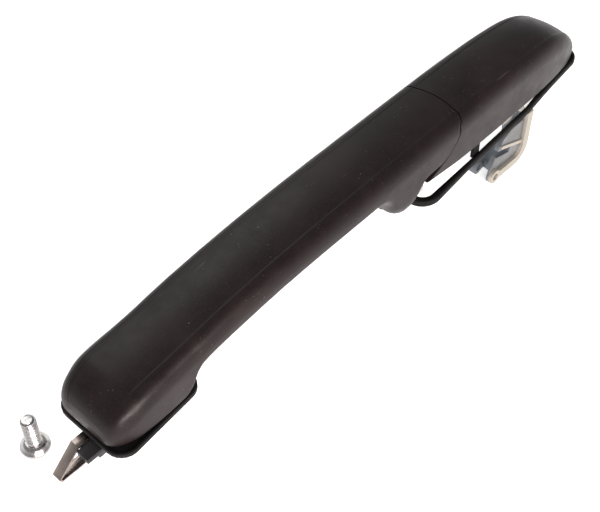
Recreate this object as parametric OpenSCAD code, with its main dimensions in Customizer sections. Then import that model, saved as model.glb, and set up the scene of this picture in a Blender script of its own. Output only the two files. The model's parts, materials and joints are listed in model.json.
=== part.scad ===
// Pull-type car door handle: hinged strap grip, fixed rear cap and die-cast carrier
// with its release lever. Millimetres. +X runs from the nose to the cap, +Z points
// away from the door, z = 0 is the door skin under the front seat.

/* [Overall] */
// Length of the grip along the crown, from the nose to the seam
grip_len = 190; // [170:1:235]
// Length of the fixed cap behind the seam
cap_len = 93; // [84:1:115]
// Width of grip and cap over the sides
body_w = 34; // [31:0.5:42]
// Height of the crown above the door skin at the seam
crown_h = 34.6; // [33:0.1:42]
// Distance from the nose to the centre of the front seat
seat_back = 20; // [19:0.5:24]

/* [Grip] */
// Thickness of the strap between the finger gap and the crown
strap_t = 13.4; // [12:0.1:15]
// Length of the front foot on the door skin
foot_len = 36; // [33:0.5:44]
// Height of the grip's lower edge above the door skin at the front foot
foot_lift = 3; // [2.6:0.1:4]
// Height of the rear foot's lowest point above the door skin
rear_foot_lift = 2; // [1.8:0.1:3]
// Distance from the seam forward to the middle of the rear foot
rear_foot_back = 35; // [33:0.5:38]
// Wall of the moulded shells
wall = 2.6; // [2.2:0.1:3.2]
// Half distance between the two creases of the crown
crease_half = 11; // [8:0.5:12]
// Drop of the crown from the middle to the creases
crown_drop = 1.2; // [0.6:0.1:2]
// Drop of the shoulders from the creases to the straight sides
shoulder_drop = 7.3; // [5:0.1:8.5]
// Radius of the strap's lower edges
edge_soft = 5; // [3:0.1:5.4]
// Radius of the cap's lower edge
cap_edge = 0.8; // [0.4:0.1:1.5]
// Gap between grip and cap along the seam
seam_gap = 0.6; // [0.3:0.1:1]
// Length of the closing cover under the strap
cover_len = 82; // [70:1:90]
// Width of the closing cover
cover_w = 21.6; // [18:0.2:22]
// Thickness of the closing cover
cover_t = 2.2; // [1.6:0.1:2.6]

/* [Front hinge] */
// Distance from the nose back to the hinge axis
hinge_back = 8; // [7.5:0.5:9]
// Height of the hinge axis above the door skin
hinge_h = 7.6; // [7.2:0.1:8.5]
// Diameter of the hinge pin
hinge_pin_d = 4; // [3:0.1:4.4]
// Wall of the hinge bushes
bush_wall = 1; // [0.8:0.1:1.2]
// Width of the hinge eye of the front base
eye_w = 11.6; // [10:0.2:12]
// Width of the tongue that hooks under the door skin
tongue_w = 9.8; // [9:0.2:10.6]
// Thickness of the tongue
tongue_t = 2.4; // [2:0.1:3]
// Reach of the tongue ahead of the nose
tongue_reach = 5.8; // [5:0.2:7]
// Space between seat and tongue for the door skin and the clip
skin_gap = 3; // [2.4:0.1:3.4]
// Thickness of the neck that carries the tongue
neck_len = 5.4; // [4.6:0.1:6]
// Depth of the neck below the door skin
neck_drop = 15.6; // [14:0.2:17]
// Width of the spring clip's strip
clip_w = 4.2; // [3.8:0.1:4.6]
// Thickness of the spring clip's strip
clip_t = 0.7; // [0.5:0.05:0.9]
// Reach of the spring clip ahead of the neck
clip_reach = 16.2; // [14:0.2:18]

/* [Gaskets] */
// Thickness of the front gasket's pad
pad_t = 1.5; // [1.2:0.1:1.8]
// Height of the front gasket's outer lip
lip_h = 2; // [1.8:0.1:2.1]
// Width of the front gasket's outer lip
lip_w = 1.2; // [1:0.1:1.3]
// Overhang of the front gasket beyond the grip's sides
gasket_over = 1.1; // [0.9:0.1:1.6]
// Sideways offset of the front gasket
gasket_shift = 0.8; // [0:0.1:1]
// Thickness of the rear gasket
ring_t = 3; // [2.4:0.1:3.4]
// Width of the rear gasket's band
ring_w = 4; // [3.4:0.1:4.2]
// Overhang of the rear gasket beyond the cap's sides
ring_over = 1.3; // [1:0.1:2]
// Width of the rear gasket's band along the sides
ring_side_w = 2.6; // [2.2:0.1:3]
// Gap between the cap's lower edge and the rear gasket
ring_gap = 1.2; // [0.8:0.1:1.6]
// Droop of the rear gasket's loose middle part, in degrees
ring_droop = 4.6; // [3:0.1:5]
// Droop of the rear gasket's loose front end, in degrees
ring_tip_droop = 9; // [8:0.5:11]

/* [Cap and carrier] */
// Height of the cap's lower edge above the door skin
cap_h = 10.7; // [10.2:0.1:11.2]
// Height of the carrier plate's underside above the door skin
plate_h = 5; // [4.4:0.1:5.4]
// Thickness of the carrier plate
plate_t = 3; // [2.6:0.1:3.2]
// Distance from the cap's end forward to the lever axis
lever_back = 37; // [35:1:40]
// Height of the lever axis above the door skin
lever_h = 4; // [3.8:0.1:4.4]
// Diameter of the lever pin
lever_pin_d = 5; // [4:0.1:5.4]
// Inner width between the carrier's cheeks
cheek_gap = 13.8; // [13:0.1:15]
// Thickness of each cheek
cheek_t = 3; // [2.4:0.1:3.4]
// Length of the carrier's threaded boss
boss_len = 10; // [9:0.5:12]
// Depth of the bolt axis below the door skin
bolt_drop = 2.6; // [2.2:0.1:3]
// Outer diameter of the steel thread insert
insert_d = 7.6; // [7.2:0.1:8]

/* [Lever and hook] */
// Width of the pull hook
hook_w = 9; // [7:0.2:9.4]
// Thickness of the hook's leg and toe
hook_t = 3; // [2.6:0.1:3.4]
// Depth of the hook's toe below the door skin
toe_drop = 10; // [9:0.1:10.4]
// Length of the hook's toe
toe_len = 11.5; // [10.5:0.5:12]
// Width of the lever's forward arm
arm_w = 6.4; // [5:0.2:7]
// Diameter of the sleeve on the arm's tip
tip_d = 5; // [4.4:0.1:5.4]
// Depth of the lever's lower flange below the door skin
lever_drop = 31; // [28:0.5:33]
// Thickness of the lever's outer flange
flange_t = 4; // [3:0.1:4.6]
// Thickness of the lever's web
web_t = 2.4; // [1.8:0.1:3]
// Diameter of the rod eye
rod_eye_d = 3.6; // [3:0.1:4]
// Outer diameter of the two rod ears
ear_d = 7; // [6:0.1:8]
// Width over the two rod ears
ears_w = 12.5; // [11:0.1:14]

/* [Fasteners] */
// Nominal diameter of the fixing bolt
bolt_d = 6; // [5:0.5:6.5]
// Length of the fixing bolt under its head
bolt_len = 14.5; // [12:0.5:18]
// Diameter of the fixing bolt's head
bolt_head_d = 11.8; // [9:0.1:12.6]
// Height of the fixing bolt's head
bolt_head_h = 3.4; // [3:0.1:4.5]
// Diameter of the self-tapping screws
screw_d = 2.9; // [2.4:0.1:3]
// Diameter of the self-tapping screws' heads
screw_head_d = 5.4; // [4.4:0.1:5.6]

/* [Clearances] */
// Running clearance on the radius of each hinge
run_gap = 0.05; // [0.02:0.01:0.08]
// Gap between pieces that are fixed to each other
fit_gap = 0.15; // [0.1:0.05:0.2]
// Gap between pieces that move past each other
move_gap = 0.8; // [0.6:0.1:0.9]

/* [Hidden] */
$fn = 48;
eps = 0.01;
far = 400;

nose_x = -seat_back;
seam_x = nose_x + grip_len;
end_x = seam_x + cap_len;
half_w = body_w / 2;
foot_end = nose_x + foot_len;
rear_foot_x = seam_x - rear_foot_back;
hinge_x = nose_x + hinge_back;
lever_x = end_x - lever_back;
cap_front_x = seam_x - 24.9;
cavity_half = half_w - wall - 1.2;

// Height of the cap's front corner, where the seam meets the lower edges.
corner_z = cap_h + 2.1;

// Crown line: height of the top at each x.
top_pts = [[nose_x, 8.6], [nose_x + 0.8, 11.2], [nose_x + 3, 14.4], [nose_x + 7, 17.4],
    [nose_x + 14, 20.6], [nose_x + 30, crown_h - 11.5], [nose_x + 60, crown_h - 6.8],
    [nose_x + 96, crown_h - 3.5], [seam_x - 50, crown_h - 1.5], [seam_x, crown_h],
    [seam_x + 22, crown_h + 0.5], [end_x - 47, crown_h + 0.1], [end_x - 27, crown_h - 1.7],
    [end_x - 15, crown_h - 6.2], [end_x - 7, crown_h - 12.6], [end_x - 2.4, crown_h - 18.6],
    [end_x, crown_h - 23]];

// Underside of the grip: front foot, finger gap, rear foot, rise to the seam.
grip_bottom_pts = [[nose_x, foot_lift + 0.7], [nose_x + 3, foot_lift],
    [foot_end - 4, foot_lift], [foot_end, foot_lift + 2], [foot_end + 3, foot_lift + 6.5],
    [foot_end + 8, crown_h - 9.2 - strap_t], [foot_end + 20, crown_h - 7 - strap_t],
    [foot_end + 50, crown_h - 3.6 - strap_t], [rear_foot_x - 26, crown_h - 2 - strap_t],
    [rear_foot_x - 17, crown_h - 2.6 - strap_t], [rear_foot_x - 12, crown_h - 6.8 - strap_t],
    [rear_foot_x - 8, rear_foot_lift + 4.4], [rear_foot_x - 4, rear_foot_lift + 0.8],
    [rear_foot_x, rear_foot_lift], [rear_foot_x + 3.5, rear_foot_lift + 1.2],
    [rear_foot_x + 6, rear_foot_lift + 4.2], [cap_front_x, corner_z], [seam_x + 6, corner_z]];

// Lower edge of the cap.
cap_bottom_pts = [[cap_front_x, corner_z], [cap_front_x + 10, cap_h + 1.1],
    [cap_front_x + 24, cap_h], [end_x - 22, cap_h], [end_x, cap_h - 1]];

// Half width at each x.
side_pts = [[nose_x, half_w - 6.6], [nose_x + 0.8, half_w - 4.6], [nose_x + 2.4, half_w - 2.9],
    [nose_x + 5.5, half_w - 1.3], [nose_x + 12, half_w], [foot_end, half_w - 0.5],
    [foot_end + 40, half_w - 0.4], [seam_x - 60, half_w - 0.1], [seam_x, half_w - 0.3],
    [seam_x + 30, half_w - 0.7],
    [end_x - 36, half_w - 1.3], [end_x - 18, half_w - 3], [end_x - 8, half_w - 5.2],
    [end_x - 2.4, half_w - 7.6], [end_x, half_w - 9.6]];

// Radius of the grip's lower edges: crisp at the front foot, soft at the strap and rear foot.
edge_pts = [[nose_x, 1.2], [foot_end - 4, 1.4], [foot_end + 10, edge_soft],
    [rear_foot_x - 20, edge_soft], [rear_foot_x - 6, edge_soft + 3], [rear_foot_x + 6, edge_soft + 3],
    [cap_front_x, edge_soft], [seam_x + 6, edge_soft]];

// Seam seen from the side: a cubic curve from the cap's front corner up to the crown.
seam_ctl = [[cap_front_x, corner_z], [seam_x - 9.6, 18.4], [seam_x - 5.4, 23], [seam_x - 4.8, 29]];
seam_steps = 8;
function bezier(c, t) = pow(1 - t, 3) * c[0] + 3 * t * pow(1 - t, 2) * c[1]
    + 3 * t * t * (1 - t) * c[2] + pow(t, 3) * c[3];
seam_curve = concat([for (i = [0:seam_steps]) bezier(seam_ctl, i / seam_steps)],
    [[seam_x + 0.5, crown_h + 2.4], [seam_x + 2, crown_h + 12]]);

// Smooth curve through hand-set points, height as a function of x.
function span_at(p, x, i = 0) = i >= len(p) - 2 || x < p[i + 1][0] ? i : span_at(p, x, i + 1);
function tangent(p, i) = let(a = max(i - 1, 0), b = min(i + 1, len(p) - 1))
    (p[b][1] - p[a][1]) / (p[b][0] - p[a][0]);
function curve(p, x) = let(i = span_at(p, x), h = p[i + 1][0] - p[i][0], t = (x - p[i][0]) / h)
    (2 * t * t * t - 3 * t * t + 1) * p[i][1] + (t * t * t - 2 * t * t + t) * h * tangent(p, i)
    + (3 * t * t - 2 * t * t * t) * p[i + 1][1] + (t * t * t - t * t) * h * tangent(p, i + 1);

function top_z(x) = curve(top_pts, x);
function grip_z(x) = curve(grip_bottom_pts, x);
function cap_z(x) = curve(cap_bottom_pts, x);
function side_y(x) = curve(side_pts, x);
function edge_r(x) = curve(edge_pts, x);

// One cross-section: crown, creased shoulder, straight side and rounded lower edge.
crown_steps = 3;
shoulder_steps = 5;
edge_steps = 4;
function half_section(x, low, edge) = let(zt = top_z(x), w = side_y(x), h = zt - low,
        c = min(crease_half, w * 0.68), drop = crown_drop * c / crease_half,
        s = min(shoulder_drop, 0.5 * h), r = min(edge, 0.3 * h))
    concat([for (i = [0:crown_steps]) let(u = i / crown_steps) [c * u, zt - drop * u * u]],
        [for (i = [1:shoulder_steps]) let(a = 90 * i / shoulder_steps)
            [c + (w - c) * sin(a), zt - drop - s * (1 - cos(a))]],
        [for (i = [0:edge_steps]) let(a = 90 * i / edge_steps)
            [w - r + r * cos(a), low + r - r * sin(a)]]);
function section(x, low, edge) = let(half = half_section(x, low, edge), n = len(half))
    concat([for (p = half) [x, -p[0], p[1]]],
        [for (i = [n - 1:-1:1]) [x, half[i][0], half[i][1]]]);

// Closed skin over a list of cross-sections, with flat ends.
module loft(rings) {
    n = len(rings[0]);
    m = len(rings);
    points = [for (ring = rings) for (p = ring) p];
    walls = [for (k = [0:m - 2]) for (i = [0:n - 1]) let(j = (i + 1) % n)
        each [[k * n + i, (k + 1) * n + i, (k + 1) * n + j], [k * n + i, (k + 1) * n + j, k * n + j]]];
    ends = [[for (i = [0:n - 1]) i], [for (i = [n - 1:-1:0]) (m - 1) * n + i]];
    polyhedron(points = points, faces = concat(walls, ends), convexity = 6);
}

// Extrude a drawing of the XZ plane along Y, from y0 to y1.
module side_extrude(y0, y1) {
    translate([0, y1, 0]) rotate([90, 0, 0]) linear_extrude(height = y1 - y0) children();
}

// Round bar along Y between y0 and y1, with its axis at x, z.
module bar(x, z, r, y0, y1) {
    translate([x, y1, z]) rotate([90, 0, 0]) cylinder(h = y1 - y0, r = r);
}

// Straight strip of thickness t between two points, with round ends.
module strip(a, b, t) {
    d = b - a;
    translate(a) rotate(atan2(d[1], d[0])) translate([0, -t / 2]) square([norm(d), t]);
    translate(a) circle(d = t, $fn = 24);
    translate(b) circle(d = t, $fn = 24);
}

module box(x0, x1, y0, y1, z0, z1) {
    translate([x0, y0, z0]) cube([x1 - x0, y1 - y0, z1 - z0]);
}

// ---------------------------------------------------------------- grip

cavity_x0 = nose_x + wall;
cavity_x1 = seam_x - 11;
foot_open_x = foot_end - wall - 2.4;
roof_t = wall + 0.9;
grip_steps = 20;
grip_stations = concat([for (d = [0, 0.8, 1.8, 3, 5, 7.5, 11, 16, 22, 28]) nose_x + d],
    [for (d = [-4, -1.5, 0, 1.5, 3, 5.5, 9, 15, 25, 38, 52]) foot_end + d],
    [for (d = [-38, -26, -20, -16, -13, -10.5, -8, -5.5, -3, 0, 3, 5.5, 8, 11]) rear_foot_x + d],
    [cap_front_x + 2, seam_x - 14, seam_x - 6, seam_x + 4]);

module grip_skin() {
    difference() {
        loft([for (x = grip_stations) section(x, grip_z(x), edge_r(x))]);
        side_extrude(-far, far) translate([-seam_gap / 2, 0]) polygon(concat(
            [[cap_front_x, -far]], seam_curve, [[far, crown_h + 12], [far, -far]]));
    }
}

function roof_line(x0, x1, drop, steps) =
    [for (i = [0:steps]) let(x = x0 + (x1 - x0) * i / steps) [x, top_z(x) - drop]];
function floor_line(x0, x1, lift, steps) =
    [for (i = [0:steps]) let(x = x0 + (x1 - x0) * i / steps) [x, grip_z(x) + lift]];

module cavity_profile() {
    floor_pts = floor_line(foot_end + 3, cavity_x1 - 10, wall, grip_steps);
    polygon(concat([[cavity_x0, -eps], [cavity_x0, top_z(cavity_x0) - roof_t]],
        roof_line(cavity_x0 + 4, cavity_x1, roof_t, grip_steps),
        [for (i = [grip_steps:-1:0]) floor_pts[i]],
        [[foot_open_x, grip_z(foot_end + 3) + wall], [foot_open_x, -eps]]));
}
module grip_cavity() {
    side_extrude(-cavity_half, cavity_half) cavity_profile();
}

cover_x0 = foot_end + 12;
cover_x1 = cover_x0 + cover_len;
cover_steps = 14;
module cover_band(x0, x1, low, high, half) {
    side_extrude(-half, half) polygon(concat(floor_line(x0, x1, low, cover_steps),
        [for (i = [cover_steps:-1:0]) floor_line(x0, x1, high, cover_steps)[i]]));
}

hook_x = seam_x - 20.7;
hook_screw_x = [rear_foot_x - 3, rear_foot_x + 4.6];
screw_head_h = 2;
leg_t = hook_t + 2;
hook_z = 13.6;
hook_top = hook_z + 4;
module grip_shell() {
    color([0.13, 0.12, 0.12]) difference() {
        grip_skin();
        grip_cavity();
        cover_band(cover_x0, cover_x1, -1, wall + 1, cover_w / 2);
        box(hook_x - move_gap, hook_x + leg_t + move_gap, -hook_w / 2 - fit_gap,
            hook_w / 2 + fit_gap, 0, hook_top + fit_gap);
        box(tie_x1 - 2, hook_x, -hook_w / 2 - fit_gap, hook_w / 2 + fit_gap, hook_z - fit_gap,
            hook_top + fit_gap);
        for (x = hook_screw_x) translate([x, 0, hook_z - screw_head_h - fit_gap])
            cylinder(h = screw_head_h + fit_gap, d = screw_head_d + 2 * move_gap);
    }
}

// Cover plate with two lengthwise ribs that rest on the core.
cover_half = cover_w / 2 - fit_gap;
cover_rib_w = 1.2;
module grip_cover() {
    x0 = cover_x0 + fit_gap;
    x1 = cover_x1 - fit_gap;
    color([0.1, 0.1, 0.1]) difference() {
        cover_band(x0, x1, 0, wall + fit_gap / 2, cover_half);
        cover_band(x0 - 1, x1 + 1, cover_t, wall + 1, cover_half - cover_rib_w);
    }
}

core_half = cavity_half - fit_gap;
core_wall = 3.6;
core_low = foot_lift + 2.2;
tie_x0 = rear_foot_x - 8;
tie_x1 = rear_foot_x + 11;
core_x1 = tie_x1 + 2;
lug_r = 3.7;
lug_w = 3.4;
lug_y = eye_w / 2 + 0.4;
rib_pitch = 15;
module core_profile() {
    side_extrude(-core_half, core_half) intersection() {
        offset(delta = -fit_gap) cavity_profile();
        translate([hinge_x, core_low]) square([core_x1 - hinge_x, far]);
    }
}
module grip_core() {
    color([0.2, 0.2, 0.22]) difference() {
        union() {
            difference() {
                core_profile();
                box(hinge_x - 1, core_x1 + 1, -core_half + core_wall, core_half - core_wall,
                    -far, far);
            }
            intersection() {
                core_profile();
                union() {
                    for (x = [foot_end + 5:rib_pitch:tie_x0 - 4])
                        box(x, x + 2, -core_half, core_half, -far, far);
                    box(tie_x0, tie_x1, -core_half, core_half, hook_top + fit_gap, far);
                }
            }
            for (side = [-1, 1]) {
                bar(hinge_x, hinge_h, lug_r, side > 0 ? lug_y : -lug_y - lug_w,
                    side > 0 ? lug_y + lug_w : -lug_y);
                box(hinge_x, hinge_x + 6, side > 0 ? lug_y : -core_half + 1,
                    side > 0 ? core_half - 1 : -lug_y, hinge_h, hinge_h + lug_r);
            }
        }
        bar(hinge_x, hinge_h, hinge_pin_d / 2, -core_half - 1, core_half + 1);
        for (x = hook_screw_x)
            translate([x, 0, hook_top]) cylinder(h = hook_screw_len + 0.6, d = screw_d);
    }
}

hook_screw_len = 5;
module pull_hook() {
    color([0.72, 0.72, 0.7]) difference() {
        side_extrude(-hook_w / 2, hook_w / 2) union() {
            translate([tie_x0 + 1, hook_z]) square([hook_x + leg_t - tie_x0 - 1, 4]);
            translate([hook_x, -toe_drop]) square([leg_t, hook_top + toe_drop]);
            translate([hook_x, -toe_drop]) square([toe_len, hook_t]);
        }
        for (x = hook_screw_x)
            translate([x, 0, hook_z - 1]) cylinder(h = 6, d = screw_d);
    }
}

module hook_screws() {
    color([0.62, 0.62, 0.6]) for (x = hook_screw_x) {
        translate([x, 0, hook_z - screw_head_h]) cylinder(h = screw_head_h, d = screw_head_d);
        translate([x, 0, hook_z - eps]) cylinder(h = 4 + hook_screw_len, d = screw_d);
    }
}

module hinge_pin() {
    color([0.75, 0.75, 0.76]) bar(hinge_x, hinge_h, hinge_pin_d / 2, -lug_y - lug_w, lug_y + lug_w);
}

buffer_len = 8;
buffer_w = 11;
module rear_foot_buffer() {
    color([0.05, 0.05, 0.05]) difference() {
        box(rear_foot_x - buffer_len / 2, rear_foot_x + buffer_len / 2, -buffer_w / 2,
            buffer_w / 2, 0.4, rear_foot_lift + 2);
        loft([for (d = [-8, -5.5, -3, 0, 3, 5.5, 8]) let(x = rear_foot_x + d)
            section(x, grip_z(x), edge_r(x))]);
    }
}

// ---------------------------------------------------------------- front seat

base_x0 = nose_x + 3.8;
base_x1 = foot_open_x - move_gap;
base_half = cavity_half - move_gap;
base_t = 2;
eye_r = hinge_pin_d / 2 + bush_wall + 1.4;
neck_x0 = nose_x + 1.8;
neck_x1 = neck_x0 + neck_len;
clip_y = 0.8;
neck_half = clip_w / 2 + 0.8;
tongue_y = -2.2;
slot_half = clip_w / 2 + fit_gap;
clip_top = -skin_gap + clip_t / 2 + 0.05;
clip_low = -neck_drop + 2.4;
clip_bend_x = nose_x - 4.6;
module front_base() {
    color([0.16, 0.16, 0.17]) difference() {
        union() {
            box(base_x0, base_x1, -base_half, base_half, pad_t, pad_t + base_t);
            box(neck_x0, neck_x1, clip_y - neck_half, clip_y + neck_half, -neck_drop,
                pad_t + 0.3);
            box(nose_x - tongue_reach, neck_x1, tongue_y - tongue_w / 2, tongue_y + tongue_w / 2,
                -skin_gap - tongue_t, -skin_gap);
            bar(hinge_x, hinge_h, eye_r, -eye_w / 2, eye_w / 2);
            box(hinge_x - eye_r, hinge_x + eye_r, -eye_w / 2, eye_w / 2, pad_t, hinge_h);
        }
        bar(hinge_x, hinge_h, hinge_pin_d / 2 + bush_wall, -eye_w, eye_w);
        for (z = [clip_top, clip_low])
            box(neck_x0 - 1, neck_x0 + 3, clip_y - slot_half, clip_y + slot_half,
                max(z - clip_t / 2 - fit_gap, z > clip_low ? -skin_gap : -neck_drop),
                z + clip_t / 2 + fit_gap);
        box(nose_x - tongue_reach - 1, clip_bend_x + clip_t + fit_gap, clip_y - slot_half,
            clip_y + slot_half, -far, 0);
    }
}

module hinge_bushes() {
    flange_w = 0.3;
    color([0.85, 0.83, 0.76]) for (side = [-1, 1]) difference() {
        union() {
            bar(hinge_x, hinge_h, hinge_pin_d / 2 + bush_wall, side > 0 ? 0.4 : -eye_w / 2,
                side > 0 ? eye_w / 2 : -0.4);
            bar(hinge_x, hinge_h, eye_r - 0.3, side > 0 ? eye_w / 2 : -eye_w / 2 - flange_w,
                side > 0 ? eye_w / 2 + flange_w : -eye_w / 2);
        }
        bar(hinge_x, hinge_h, hinge_pin_d / 2 + run_gap, -eye_w, eye_w);
    }
}

gasket_x0 = nose_x - 0.3;
gasket_x1 = foot_end + 5.5;
gasket_half = half_w + gasket_over;
// Rounded foot outline that narrows to the rear.
module foot_outline(inset) {
    r = 7 - inset;
    rear_half = gasket_half - 2.6 - inset;
    front_half = gasket_half - inset;
    polygon(concat(
        [for (a = [180:15:270]) [gasket_x0 + inset + r + r * cos(a), -front_half + r + r * sin(a)]],
        [for (a = [270:15:360]) [gasket_x1 - inset - r + r * cos(a), -rear_half + r + r * sin(a)]],
        [for (a = [0:15:90]) [gasket_x1 - inset - r + r * cos(a), rear_half - r + r * sin(a)]],
        [for (a = [90:15:180]) [gasket_x0 + inset + r + r * cos(a), front_half - r + r * sin(a)]]));
}
module front_gasket() {
    color([0.06, 0.06, 0.06]) difference() {
        union() {
            translate([0, -gasket_shift, 0]) linear_extrude(height = pad_t) foot_outline(0);
            translate([0, -gasket_shift, 0]) linear_extrude(height = lip_h) difference() {
                foot_outline(0);
                foot_outline(lip_w);
            }
        }
        box(neck_x0 - fit_gap, neck_x1 + fit_gap, clip_y - neck_half - fit_gap,
            clip_y + neck_half + fit_gap, -1, pad_t + 1);
    }
}

module spring_clip() {
    back_x = neck_x0 + 2.6;
    tip_x = neck_x0 - clip_reach;
    path = [[back_x, clip_top], [clip_bend_x, clip_top], [tip_x, clip_low + 1.2],
        [tip_x + 0.7, clip_low - 0.1], [back_x, clip_low]];
    color([0.8, 0.8, 0.78]) side_extrude(clip_y - clip_w / 2, clip_y + clip_w / 2)
        for (i = [0:len(path) - 2]) strip(path[i], path[i + 1], clip_t);
}

// ---------------------------------------------------------------- cap

cap_stations = concat([cap_front_x + seam_gap / 2],
    [for (d = [4, 9, 14, 19, 24, 36]) cap_front_x + d],
    [for (d = [-64, -47, -36, -27, -20, -15, -11, -7, -4.4, -2.4, -1, 0]) end_x + d]);
cap_cavity_x1 = end_x - 9;
frame_x0 = seam_x + 12;
frame_x1 = end_x - 15;
cap_steps = 10;
module cap_cavity() {
    front = [for (i = [0:seam_steps]) bezier(seam_ctl, i / seam_steps) + [3.3, -0.8]];
    side_extrude(-cavity_half, cavity_half) polygon(concat([[front[0][0], -1]], front,
        roof_line(seam_x + 3, cap_cavity_x1 - 8, roof_t, cap_steps),
        [[cap_cavity_x1, top_z(cap_cavity_x1) - roof_t - 2.6], [cap_cavity_x1, -1]]));
}
module cap_shell() {
    color([0.13, 0.12, 0.12]) difference() {
        loft([for (x = cap_stations) section(x, cap_z(x), cap_edge)]);
        side_extrude(-far, far) translate([seam_gap / 2, 0]) polygon(concat(
            [[cap_front_x - 20, corner_z]], seam_curve, [[cap_front_x - 20, crown_h + 12]]));
        intersection() {
            cap_cavity();
            cap_inner_plan(0);
        }
        box(cap_front_x - 1, seam_x - 3, -hook_w / 2 - 1.7, hook_w / 2 + 1.7, 0, 24);
    }
}

// Plan of the space inside the cap, narrowing with the cap towards its end.
cap_plan = [for (x = [cap_front_x - 5, seam_x + 30, end_x - 36, end_x - 18, cap_cavity_x1])
    [x, min(cavity_half, side_y(max(x, cap_front_x)) - wall - 0.6)]];
module cap_inner_plan(inset) {
    last = len(cap_plan) - 1;
    translate([0, 0, -far / 2]) linear_extrude(height = far) polygon(concat(
        [for (i = [0:last]) [cap_plan[i][0] - (i == last ? inset : 0), inset - cap_plan[i][1]]],
        [for (i = [last:-1:0]) [cap_plan[i][0] - (i == last ? inset : 0), cap_plan[i][1] - inset]]));
}

plate_top = plate_h + plate_t;
cheek_r = 6.4;
post_r = 2.9;
function post_y(x) = min(9.2, lookup(x, cap_plan) - post_r - fit_gap);
screw_spots = [for (x = [seam_x + 20, end_x - 21]) for (side = [-1, 1]) [x, side * post_y(x)]];
frame_t = 6.4;
frame_pocket_top = lever_h + cheek_r + 0.6;
module cap_frame() {
    window_half = cheek_gap / 2 + 0.4;
    color([0.11, 0.11, 0.12]) difference() {
        union() {
            intersection() {
                box(frame_x0, frame_x1, -far, far, cap_h, cap_h + frame_t);
                cap_inner_plan(fit_gap);
            }
            for (s = screw_spots) translate([s[0], s[1], plate_top])
                cylinder(h = top_z(s[0]) - roof_t - fit_gap - plate_top - 1.4, r = post_r);
        }
        box(frame_x0 - 1, lever_x + 12, -window_half + 0.6, window_half - 0.6, 0, 20);
        box(lever_x - 13, lever_x + 13, -far, far, 0, frame_pocket_top);
        for (s = screw_spots) translate([s[0], s[1], plate_top - 1])
            cylinder(h = cap_screw_len - plate_t + 1.6, d = screw_d);
    }
}

cap_screw_len = 11;
module cap_screws() {
    color([0.62, 0.62, 0.6]) for (s = screw_spots) {
        translate([s[0], s[1], plate_h - 1.8]) cylinder(h = 1.8, d = screw_head_d);
        translate([s[0], s[1], plate_h - eps]) cylinder(h = cap_screw_len, d = screw_d);
    }
}

ring_x0 = seam_x - 25.5;
ring_x1 = end_x + 1.1;
bend_x = end_x - 29;
// Outline of the rear gasket: round front end, sides that follow the cap. front and side
// are the insets at the ends and along the sides.
module ring_outline(front, side) {
    r = 9 - front;
    front_half = half_w + ring_over - front;
    mid_half = half_w + ring_over - 1 - side;
    end_half = half_w - 3.6 - front;
    polygon(concat(
        [for (a = [180:15:270]) [ring_x0 + front + r + r * cos(a), -front_half + r + r * sin(a)]],
        [[tip_bend_x, -mid_half - 0.6], [bend_x - 16, -mid_half]],
        [for (a = [270:15:360]) [ring_x1 - front - r + r * cos(a), -end_half + r + r * sin(a)]],
        [for (a = [0:15:90]) [ring_x1 - front - r + r * cos(a), end_half - r + r * sin(a)]],
        [[bend_x - 16, mid_half], [tip_bend_x, mid_half + 0.6]],
        [for (a = [90:15:180]) [ring_x0 + front + r + r * cos(a), front_half - r + r * sin(a)]]));
}
ring_z = cap_h - ring_gap - ring_t;
tip_bend_x = seam_x + 6;
tip_bend_z = ring_z - (bend_x - tip_bend_x) * tan(ring_droop);
// Underside of the gasket, which droops from the bend near the cap's end to its front end.
ring_under = [
    [ring_x1 + 1, ring_z], [bend_x, ring_z], [tip_bend_x, tip_bend_z],
    [ring_x0 - 1, tip_bend_z - (tip_bend_x - ring_x0 + 1) * tan(ring_tip_droop)]
];
lug_len = 4;
module rear_gasket() {
    lug_x = seam_x + 9;
    lug_y1 = half_w - 1.4;
    lug_z = ring_z - (bend_x - lug_x) * tan(ring_droop) + 0.8;
    color([0.05, 0.05, 0.05]) union() {
        intersection() {
            linear_extrude(height = far, center = true) difference() {
                ring_outline(0, 0);
                ring_outline(ring_w, ring_side_w);
            }
            rotate([90, 0, 0]) linear_extrude(height = far, center = true)
                polygon(concat(ring_under, [for (k = [len(ring_under) - 1:-1:0])
                    ring_under[k] + [0, ring_t]]));
        }
        for (side = [-1, 1])
            box(lug_x, lug_x + lug_len, side > 0 ? lug_y1 - 1.8 : -lug_y1,
                side > 0 ? lug_y1 : -lug_y1 + 1.8, lug_z, cap_h - 0.3);
    }
}

// ---------------------------------------------------------------- carrier

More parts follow.
